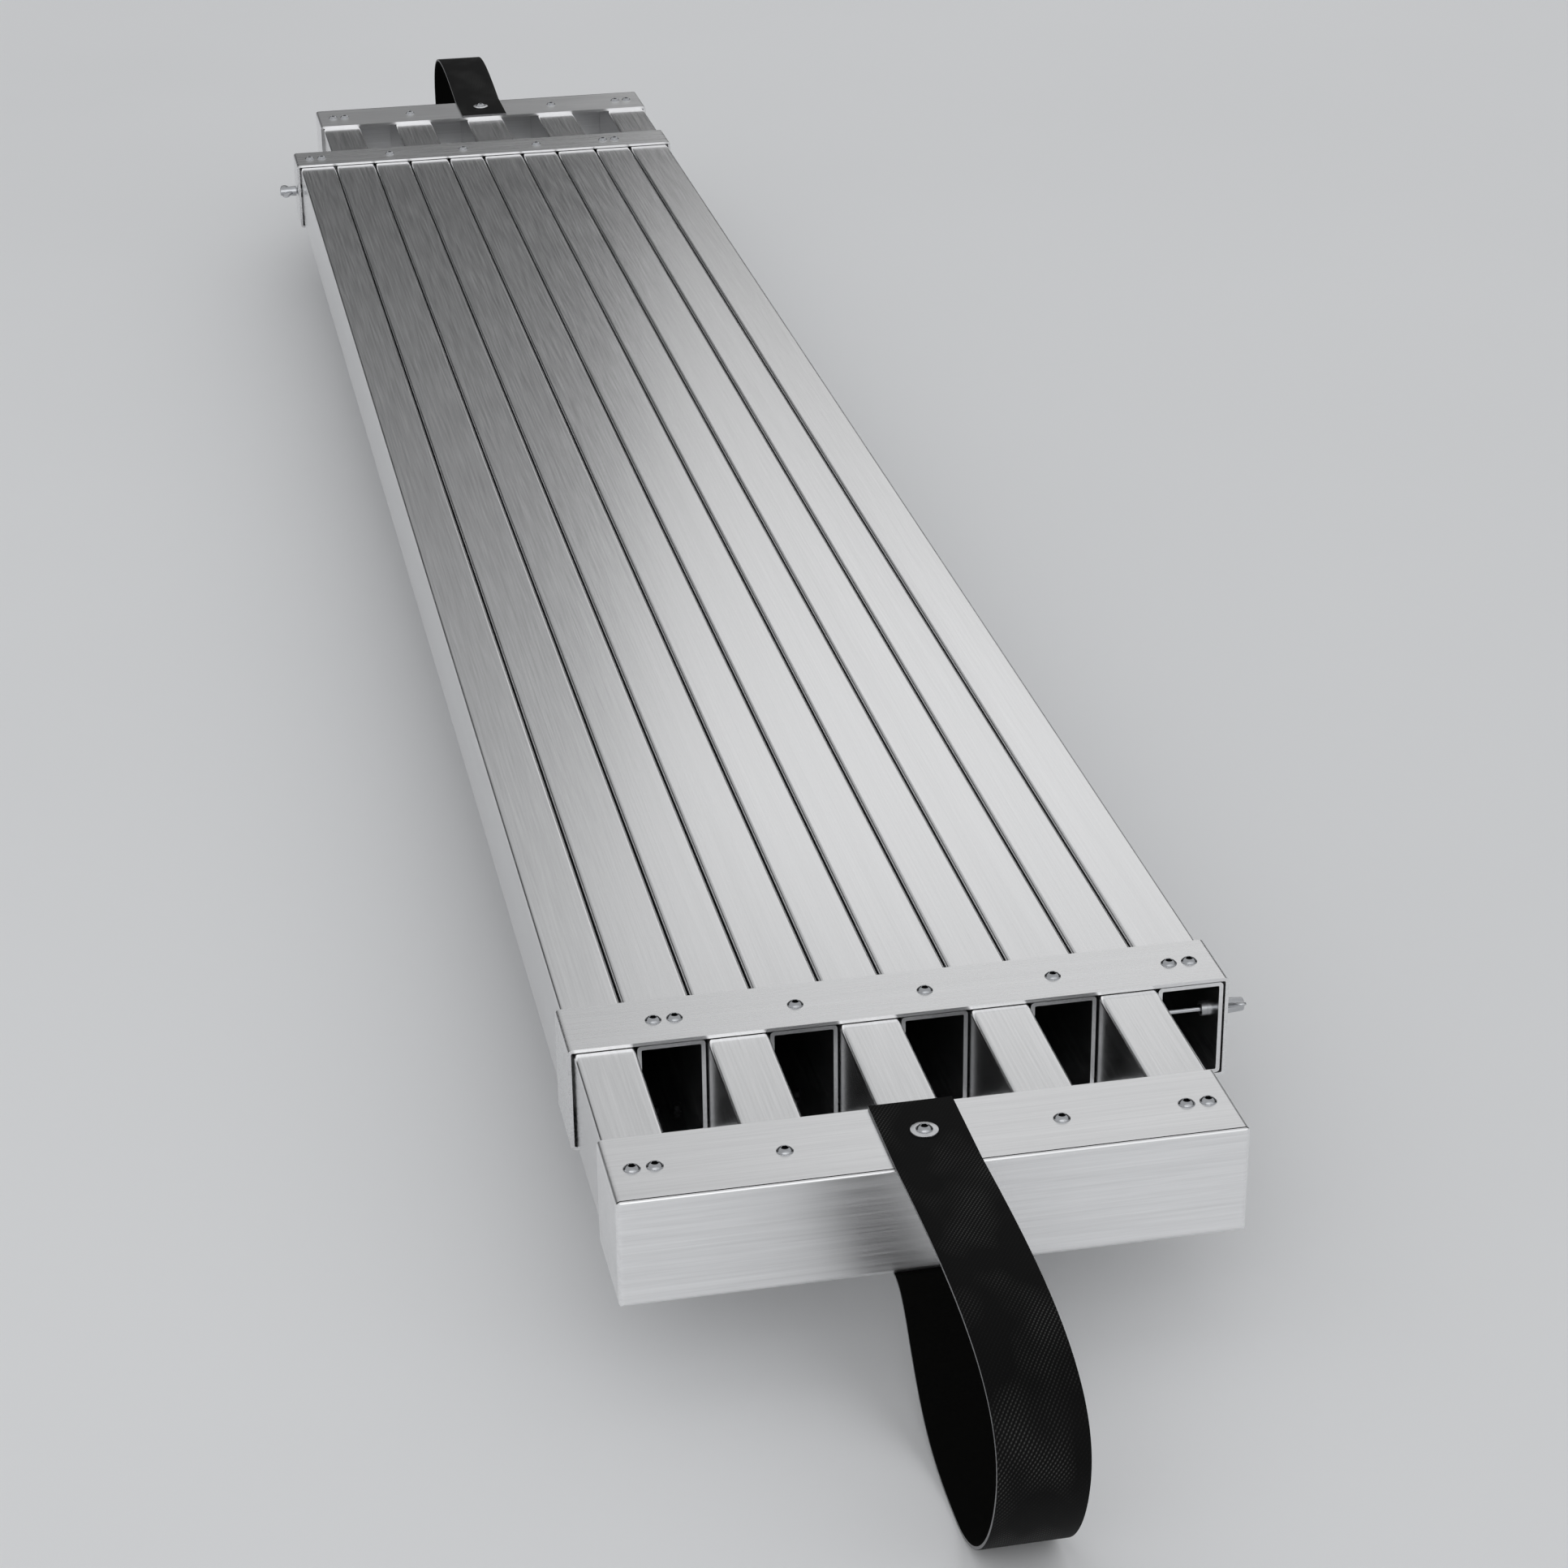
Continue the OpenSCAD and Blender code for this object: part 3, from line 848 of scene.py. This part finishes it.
@dataclass
class Fastenings:
    """The screws and washers of one section of the plank."""

    end: End
    finishes: Finishes
    screw: SocketScrew = field(default_factory=SocketScrew)
    washer: Washer = field(default_factory=Washer)
    pair_pitch: float = 11.5 * MM
    length: float = 16.0 * MM
    sunk_length: float = 8.0 * MM

    @property
    def rail_xs(self) -> list[float]:
        """Middles of the section's five rails, in the order of their numbers."""
        return [float(centre(f"{self.end.word}_rail_{k}")[0]) for k in range(1, 6)]

    def row(self, y: float, z: float, with_middle: bool) -> Array:
        """Places of a row of screws: pairs on the outermost rails and single ones between.

        Args:
            y: the row's station along the plank.
            z: height of the sheet that the screws hold.
            with_middle: whether the middle rail has its screw.

        Returns:
            Array of shape (screws, 3).
        """
        outer = [self.rail_xs[n] + s * self.pair_pitch / 2 for n in (0, 4) for s in (-1.0, 1.0)]
        inner = [self.rail_xs[n] for n in ((1, 2, 3) if with_middle else (1, 3))]
        return np.array([(x, y, z) for x in sorted(outer + inner)])

    def build(self) -> None:
        """Builds the screws through the cap and the collar, and the strap's screws and washers."""
        cap, collar = f"{self.end.word}_cap", f"{self.end.other.word}_collar"
        for sheet, with_middle in ((cap, False), (collar, True)):
            low, high = box(sheet)
            y = float(centre(f"{sheet}_screws")[1])
            top = self.row(y, high[2], with_middle)
            under = self.row(y, low[2], with_middle)
            self.add(f"{sheet}_screws", self.screw.domed(self.length).placed(np.eye(3), top))
            self.add(f"{sheet}_lower_screws", self.screw.sunk(self.sunk_length).placed(self.upside_down(), under))
        self.build_strap_fixings(cap)

    def build_strap_fixings(self, cap: str) -> None:
        """Builds the two screws and two washers that hold the strap to the cap.

        Args:
            cap: name of the section's cap.
        """
        node = f"{self.end.word}_strap_washers"
        low, high = box(node)
        x, y = centre(node)[:2]
        screw = self.screw.domed(self.length + box(cap)[0, 2] - low[2])
        washer = self.washer.shell()
        screws, washers = (
            piece.placed(np.eye(3), np.array([x, y, high[2] - lift])).joined(
                piece.placed(self.upside_down(), np.array([x, y, low[2] + lift])))
            for piece, lift in ((screw, 0.0), (washer, self.washer.height))
        )
        self.add(f"{self.end.word}_strap_screws", screws)
        add_piece(node, washers.to_mesh(f"{node}_piece"), [self.finishes.washers], self.end.body)

    def add(self, node: str, shell: Shell) -> None:
        """Puts a set of screws in place of its node."""
        steels = [self.finishes.screws, self.finishes.dark_steel]
        add_piece(node, shell.to_mesh(f"{node}_piece"), steels, self.end.body)

    @staticmethod
    def upside_down() -> Array:
        """Half a turn about X."""
        return np.diag([1.0, -1.0, -1.0])


# Strap


@dataclass
class Strap:
    """Leather carrying strap of one section: from the cap's top, round a hanging loop, to under the cap.

    Stations along the plank are counted from the cap's face, positive where they run back over the
    cap and negative out in front of it.
    """

    end: End
    finishes: Finishes
    rise: float
    low_at: float
    thickness: float = 2.0 * MM
    nose_height: float = 18.0 * MM
    knee_at: float = 45.0 * MM
    bottom_run: float = 44.0 * MM
    knee_share: float = 0.57
    shoulder_share: float = 1.7
    lead_share: float = 0.4
    knee_run: Pair = (0.45, 0.3)
    corner: float = 0.45 * MM
    steps: int = 40
    tab_steps: int = 14
    crease_deg: float = 60.0
    face_points: int = 7
    corner_points: int = 4

    def centre_line(self) -> Array:
        """Line through the middle of the strap's thickness, in the plane of station and height.

        It is a straight tab, four cubic curves that share their ends and directions, and a
        straight tab. A point of a curve at share t is the sum of its four control points, each
        weighted by its term of (1 - t + t) cubed.

        Returns:
            Array of shape (points, 2) of stations and heights.
        """
        cap_low, cap_high = box(f"{self.end.word}_cap")
        low, high = box(f"{self.end.word}_strap")
        half = self.thickness / 2
        drop = cap_low[2] - low[2]
        depth = cap_high[1] - cap_low[1]
        reach = (high[1] - low[1]) - depth
        start = np.array([0.0, cap_high[2] + half])
        finish = np.array([0.0, cap_low[2] - half])
        nose = np.array([half - reach, cap_low[2] + self.nose_height])
        lowest = np.array([-self.low_at, low[2] + half])
        knee = np.array([-self.knee_at, cap_low[2] - drop * self.knee_share])
        lean = np.array([self.knee_at, drop]) * self.knee_run
        shoulder = np.array([nose[0], cap_high[2] + self.rise * self.shoulder_share])
        curves = np.array([
            [start, start + [-reach / 2, self.rise], shoulder, nose],
            [nose, nose - [0.0, drop / 2], lowest - [self.bottom_run, 0.0], lowest],
            [lowest, lowest + [self.low_at / 3, 0.0], knee - lean, knee],
            [knee, knee + lean, finish - [self.knee_at * self.lead_share, 0.0], finish],
        ])
        t = np.linspace(0.0, 1.0, self.steps, endpoint=False)[:, None]
        weights = np.hstack([(1 - t) ** 3, 3 * t * (1 - t) ** 2, 3 * t**2 * (1 - t), t**3])
        loop = np.einsum("tk,ckd->ctd", weights, curves).reshape(-1, 2)
        back = np.linspace(depth, 0.0, self.tab_steps, endpoint=False)[:, None]
        upper = np.hstack([back, np.full_like(back, start[1])])
        lower = np.hstack([depth - back, np.full_like(back, finish[1])])
        return np.vstack([upper, loop, lower, [[depth, finish[1]]]])

    def section(self, width: float) -> Array:
        """Outline of the strap's section: a flat rectangle whose corners are quarter circles.

        Args:
            width: the strap's width.

        Returns:
            Array of shape (points, 2) of places across the width and the thickness.
        """
        w, t, r = width / 2, self.thickness / 2, self.corner
        flat = np.linspace(-(w - r), w - r, self.face_points + 2)[1:-1]
        angle = np.linspace(0.0, TURN / 4, self.corner_points)
        places = ((w - r, t - r), (r - w, t - r), (r - w, r - t), (w - r, r - t))
        corners = [
            np.stack([x + r * np.cos(angle + k * TURN / 4), y + r * np.sin(angle + k * TURN / 4)], axis=-1)
            for k, (x, y) in enumerate(places)
        ]
        top = np.stack([flat[::-1], np.full(self.face_points, t)], axis=-1)
        bottom = np.stack([flat, np.full(self.face_points, -t)], axis=-1)
        return np.concatenate([corners[0], top, corners[1], corners[2], bottom, corners[3]])

    def build(self) -> None:
        """Sweeps the section along the centre line, unrolls it into a UV map and dresses it."""
        node = f"{self.end.word}_strap"
        low, high = box(node)
        line = self.centre_line()
        slope = np.gradient(line, axis=0)
        slope /= np.linalg.norm(slope, axis=1)[:, None]
        normal = np.stack([slope[:, 1], -slope[:, 0]], axis=-1)
        profile = self.section(high[0] - low[0])
        length = np.concatenate([[0.0], np.cumsum(np.linalg.norm(np.diff(line, axis=0), axis=1))])
        spot = line[:, None, :] - normal[:, None, :] * profile[None, :, 1:]
        face = box(f"{self.end.word}_cap")[0 if self.end is End.NEAR else 1, 1]
        x = np.broadcast_to((low[0] + high[0]) / 2 + profile[:, 0], spot.shape[:2])
        rings = np.stack([x, face - self.end.sign * spot[:, :, 0], spot[:, :, 1]], axis=-1)
        mesh = Shell.from_rings(rings).to_mesh(f"{node}_piece", self.crease_deg)
        self.unroll(mesh, length, profile)
        # the cut edges take a lighter grey that is a painted highlight
        leathers = [self.finishes.leather, self.finishes.leather_back, self.finishes.leather_edge_highlight]
        piece = add_piece(node, mesh, leathers, self.end.body)

    def unroll(self, mesh: bpy.types.Mesh, length: Array, profile: Array) -> None:
        """Writes the UV map and sorts the faces into the outer side, the inner side and the cut edges.

        U is the place across the strap and V the length along it, both in metres. A band of the
        section whose two points lie on the side of positive thickness is the inner side, and one
        whose width changes less than its thickness is a cut edge, as the two ends are.

        Args:
            mesh: the strap's mesh.
            length: length along the centre line at each ring.
            profile: the section's outline.
        """
        u = np.append(np.tile(profile[:, 0], len(length)), [0.0, 0.0])
        v = np.append(np.repeat(length, len(profile)), [length[0], length[-1]])
        corner = np.empty(len(mesh.loops), int)
        mesh.loops.foreach_get("vertex_index", corner)
        layer = mesh.uv_layers.new(name="along_strap")
        layer.data.foreach_set("uv", np.stack([u[corner], v[corner]], axis=-1).ravel())
        after = np.roll(profile, -1, axis=0)
        run = np.abs(after - profile)
        band = np.where(profile[:, 1] + after[:, 1] > 0.0, 1, 0)
        band[run[:, 1] >= run[:, 0]] = 2
        slots = np.concatenate([np.tile(band, len(length) - 1), np.full(2 * len(profile), 2)])
        mesh.polygons.foreach_set("material_index", slots)


# Clamps


@dataclass
class WingBolt:
    """Wing bolt of one clamp, drawn along Z with its hub's inner face at z = 0 and its shank below.

    Its hub and wings are a little longer than the construction model's plain ones.
    """

    end: End
    finishes: Finishes
    wing_turn: float
    hub_r: float = 4.8 * MM
    hub_taper: float = 1.0 * MM
    hub_len: float = 15.2 * MM
    shank_r: float = 3.0 * MM
    neck_r: float = 1.6 * MM
    thread_len: float = 9.6 * MM
    tip_len: float = 4.5 * MM
    pitch: float = 1.0 * MM
    reach: float = 14.0 * MM
    wing_h: float = 15.5 * MM
    longer: float = 3.5 * MM
    tip_r: float = 3.8 * MM
    tip_lift: float = 0.4 * MM
    wing_t: float = 3.0 * MM
    wing_root: Pair = (1.5 * MM, 5.6 * MM)
    root_half: float = 3.5 * MM
    waist: float = 0.45 * MM
    thinning: float = 0.2
    oval_power: float = 0.75
    oval_points: int = 24
    wing_rings: int = 30
    fillet: float = 0.7 * MM
    dish_depth: float = 0.5 * MM
    dish_r: float = 0.6 * MM
    foot_chamfer: Pair = (0.35 * MM, 0.5 * MM)
    slope: float = 0.6 * MM
    steps: int = 32

    def wing(self) -> Shell:
        """One wing: an oval section swept out from the hub along a line that leans away from it.

        The line runs from inside the hub to the wing's tip. The half width of the section goes
        from the root's to the tip's, less a waist between them, and then falls to nothing as a
        quarter circle. The half thickness thins towards the tip and falls in the same way. The
        oval's two coordinates are a cosine and a sine raised to a power below one, sign kept.

        Returns:
            The closed shell, with the wing in the plane of Y and Z.
        """
        share = 1.0 - np.linspace(1.0, 0.0, self.wing_rings) ** 1.6
        root, tip = np.array(self.wing_root), np.array([self.reach, self.wing_h - self.tip_r + self.tip_lift])
        line = root + share[:, None] * (tip - root)
        past = np.clip((line[:, 0] - (self.reach - self.tip_r)) / self.tip_r, *UNIT)
        rounding = np.sqrt(np.clip(1.0 - past**2, *UNIT))
        waist = self.waist * np.sin(share * TURN / 2)
        width = (self.root_half + (self.tip_r - self.root_half) * share - waist) * rounding
        thick = self.wing_t / 2 * (1.0 - self.thinning * share) * rounding**0.6
        angle = np.arange(self.oval_points) * TURN / self.oval_points
        circle = np.stack([np.cos(angle), np.sin(angle)], axis=-1)
        oval = np.sign(circle) * np.abs(circle) ** self.oval_power
        lean = np.array([-(tip - root)[1], (tip - root)[0]]) / np.linalg.norm(tip - root)
        plane = line[:, None, :] + oval[None, :, :1] * width[:, None, None] * lean
        x = oval[None, :, 1] * thick[:, None]
        return Shell.from_rings(np.stack([x, plane[:, :, 0], plane[:, :, 1]], axis=-1))

    def shell(self, shank_len: float) -> Shell:
        """Hub, threaded shank and two wings.

        Args:
            shank_len: length of the shank below the hub.

        Returns:
            The shell of all of them.
        """
        fillet, slope = self.fillet, self.slope
        top_r = self.hub_r - self.hub_taper
        angle = np.linspace(0.0, TURN / 4, 6)
        dish_r = [self.dish_r, top_r - 2.2 * fillet]
        dish_z = [self.hub_len - self.dish_depth, self.hub_len - 0.1 * MM]
        crown_r = top_r - fillet + fillet * np.sin(angle)
        crown_z = self.hub_len - fillet + fillet * np.cos(angle)
        foot_r = [self.hub_r, self.hub_r - self.foot_chamfer[0], self.shank_r + 0.1 * MM]
        foot_z = [self.foot_chamfer[1], 0.0, 0.0]
        tip_z = self.tip_len - shank_len
        neck_r = [self.neck_r, self.neck_r, self.shank_r, self.shank_r, self.shank_r - slope]
        neck_z = [-self.thread_len - slope, tip_z + slope, tip_z, slope - shank_len, -shank_len]
        parts = ((dish_r, crown_r, foot_r), (dish_z, crown_z, foot_z))
        head = level(self.steps, *(np.concatenate(part) for part in parts))
        shank = Thread(self.shank_r, self.pitch).rings(0.0, self.thread_len, self.steps)
        neck = level(self.steps, neck_r, neck_z)
        body = Shell.from_rings(revolve(*(np.concatenate(rings) for rings in zip(head, shank, neck))))
        other = self.wing().placed(np.diag([-1.0, -1.0, 1.0]), np.zeros(3))
        return body.joined(self.wing(), other)

    def build(self) -> None:
        """Builds the bolt in place of its node, and dresses the insert and the pad."""
        word = self.end.word
        node = f"{word}_wing_bolt"
        low, high = box(node)
        out = -self.end.sign
        pivot = next(j for j in frame["joints"] if j["name"] == f"{word}_wing_turn")["pos_m"]
        tip_x, far_x = (low[0], high[0]) if out > 0 else (high[0], low[0])
        hub_x = far_x - out * (self.wing_h - self.longer)
        radial = np.array([0.0, -out * math.cos(self.wing_turn), math.sin(self.wing_turn)])
        axis = np.array([out, 0.0, 0.0])
        turn = np.stack([np.cross(radial, axis), radial, axis], axis=-1)
        shell = self.shell(abs(hub_x - tip_x)).placed(turn, np.array([hub_x, pivot[1], pivot[2]]))
        add_piece(node, shell.to_mesh(f"{node}_piece"), [self.finishes.wing_bolts], node)
        dress(f"{word}_clamp_insert", self.finishes.inserts)
        dress(f"{word}_clamp_pad", self.finishes.pads)


# Plank, stage, light and camera


@dataclass
class Section:
    """One section of the plank: cap, five rails, collar, fastenings and strap, and this end's clamp."""

    end: End
    finishes: Finishes

    def build(self) -> None:
        """Dresses the section's metal and builds its smaller pieces."""
        for number in range(1, 6):
            dress(f"{self.end.word}_rail_{number}", self.finishes.rails)
        dress(f"{self.end.word}_cap", self.finishes.caps)
        dress(f"{self.end.other.word}_collar", self.finishes.collars)
        Fastenings(self.end, self.finishes).build()
        self.strap().build()
        self.wing_bolt().build()

    def strap(self) -> Strap:
        """This end's strap: the far one rises more on its way out, and hangs down closer to the cap."""
        rise, low_at = (6.0 * MM, 127.0 * MM) if self.end is End.NEAR else (14.0 * MM, 115.0 * MM)
        return Strap(self.end, self.finishes, rise, low_at)

    def wing_bolt(self) -> WingBolt:
        """This end's wing bolt: the far one has stopped with its wings nearly level."""
        return WingBolt(self.end, self.finishes, math.radians(29.0 if self.end is End.NEAR else 6.0))


@dataclass(frozen=True)
class Softbox:
    """Rectangular lamp: its place, the point it faces, its width and height, and its power in watts."""

    name: str
    at: Triple
    aim: Triple
    size: Pair
    power: float

    def build(self) -> None:
        """Hangs the lamp."""
        data = bpy.data.lights.new(self.name, "AREA")
        data.shape = "RECTANGLE"
        data.size, data.size_y = self.size
        data.energy = self.power
        lamp = link(self.name, data)
        lamp.location = self.at
        lamp.rotation_euler = (Vector(self.aim) - Vector(self.at)).to_track_quat("-Z", "Y").to_euler()


@dataclass(frozen=True)
class Studio:
    """Floor, world light and lamps."""

    floor_side: float = 300.0
    horizon: float = 0.03
    zenith: float = 0.58
    overhead: Pair = (0.24, 0.52)
    front: float = 0.94
    forward: Pair = (0.05, -0.55)
    light_colour: Triple = (0.98, 0.99, 1.0)
    softboxes: tuple[Softbox, ...] = (
        Softbox("key_softbox", (1.9, 4.6, 2.3), (0.1, -0.2, 0.1), (2.4, 1.8), 7.5),
        Softbox("front_softbox", (-0.9, -4.2, 2.6), (0.0, -0.9, 0.05), (3.6, 2.4), 14.0),
        Softbox("left_strip", (-3.4, -0.6, 0.95), (0.0, 0.0, 0.08), (3.0, 1.6), 7.0),
    )

    def build(self) -> None:
        """Makes the floor, the world and the lamps."""
        self.floor()
        self.world()
        for softbox in self.softboxes:
            softbox.build()

    def floor(self) -> None:
        """Lays the flat floor at the height of the frame's lowest point."""
        half = self.floor_side / 2
        mesh = bpy.data.meshes.new("floor")
        corners = [(-half, -half, 0.0), (half, -half, 0.0), (half, half, 0.0), (-half, half, 0.0)]
        mesh.from_pydata(corners, [], [(0, 1, 2, 3)])
        mesh.materials.append(PaleFloor("pale_floor").build())
        link("floor", mesh)

    def world(self) -> None:
        """Fills the world with soft light that grows from the horizon to overhead and to the front.

        Its strength is the larger of a smooth step in the height of the direction and one in how
        far the direction points along -Y.
        """
        world = bpy.data.worlds.new("studio")
        bpy.context.scene.world = world
        graph = Graph(world, "BACKGROUND")
        parts = graph.add("SeparateXYZ", {"Vector": graph.add("TexCoord").outputs["Generated"]})
        above = graph.ranged(parts.outputs["Z"], self.overhead, (self.horizon, self.zenith), "SMOOTHSTEP")
        front = graph.ranged(parts.outputs["Y"], self.forward, (0.0, self.front), "SMOOTHSTEP")
        graph.surface(Strength=graph.math("MAXIMUM", above, front), Color=(*self.light_colour, 1.0))


@dataclass(frozen=True)
class Viewpoint:
    """Camera that looks down the plank from above its near end."""

    location: Triple = (-0.38666, -2.48959, 1.04215)
    yaw_deg: float = 11.4133
    pitch_deg: float = 25.5707
    roll_deg: float = -0.6655
    lens_mm: float = 81.39
    sensor_mm: float = 36.0
    farthest: float = 200.0

    def build(self) -> None:
        """Makes the camera.

        It faces +Y turned by the yaw towards +X and by the pitch downwards, and is rolled about
        that direction.
        """
        yaw, pitch, roll = (math.radians(a) for a in (self.yaw_deg, self.pitch_deg, self.roll_deg))
        ahead = Vector((math.sin(yaw) * math.cos(pitch), math.cos(yaw) * math.cos(pitch), -math.sin(pitch)))
        side = Vector((math.cos(yaw), -math.sin(yaw), 0.0))
        upright = side.cross(ahead)
        right = math.cos(roll) * side + math.sin(roll) * upright
        up = -math.sin(roll) * side + math.cos(roll) * upright
        data = bpy.data.cameras.new("viewpoint")
        data.sensor_width = self.sensor_mm
        data.lens = self.lens_mm
        data.clip_end = self.farthest
        camera = link("viewpoint", data)
        turn = Matrix((right, up, -ahead)).transposed().to_4x4()
        camera.matrix_world = Matrix.Translation(self.location) @ turn
        bpy.context.scene.camera = camera


def main() -> None:
    """Builds the plank's two sections, the stage, the light and the camera."""
    logging.basicConfig(level=logging.INFO, format="%(message)s")
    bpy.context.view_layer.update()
    Viewpoint().build()
    finishes = Finishes()
    for end in End:
        Section(end, finishes).build()
    Studio().build()
    bpy.context.scene.view_settings.view_transform = "Standard"


if __name__ == "__main__":
    main()
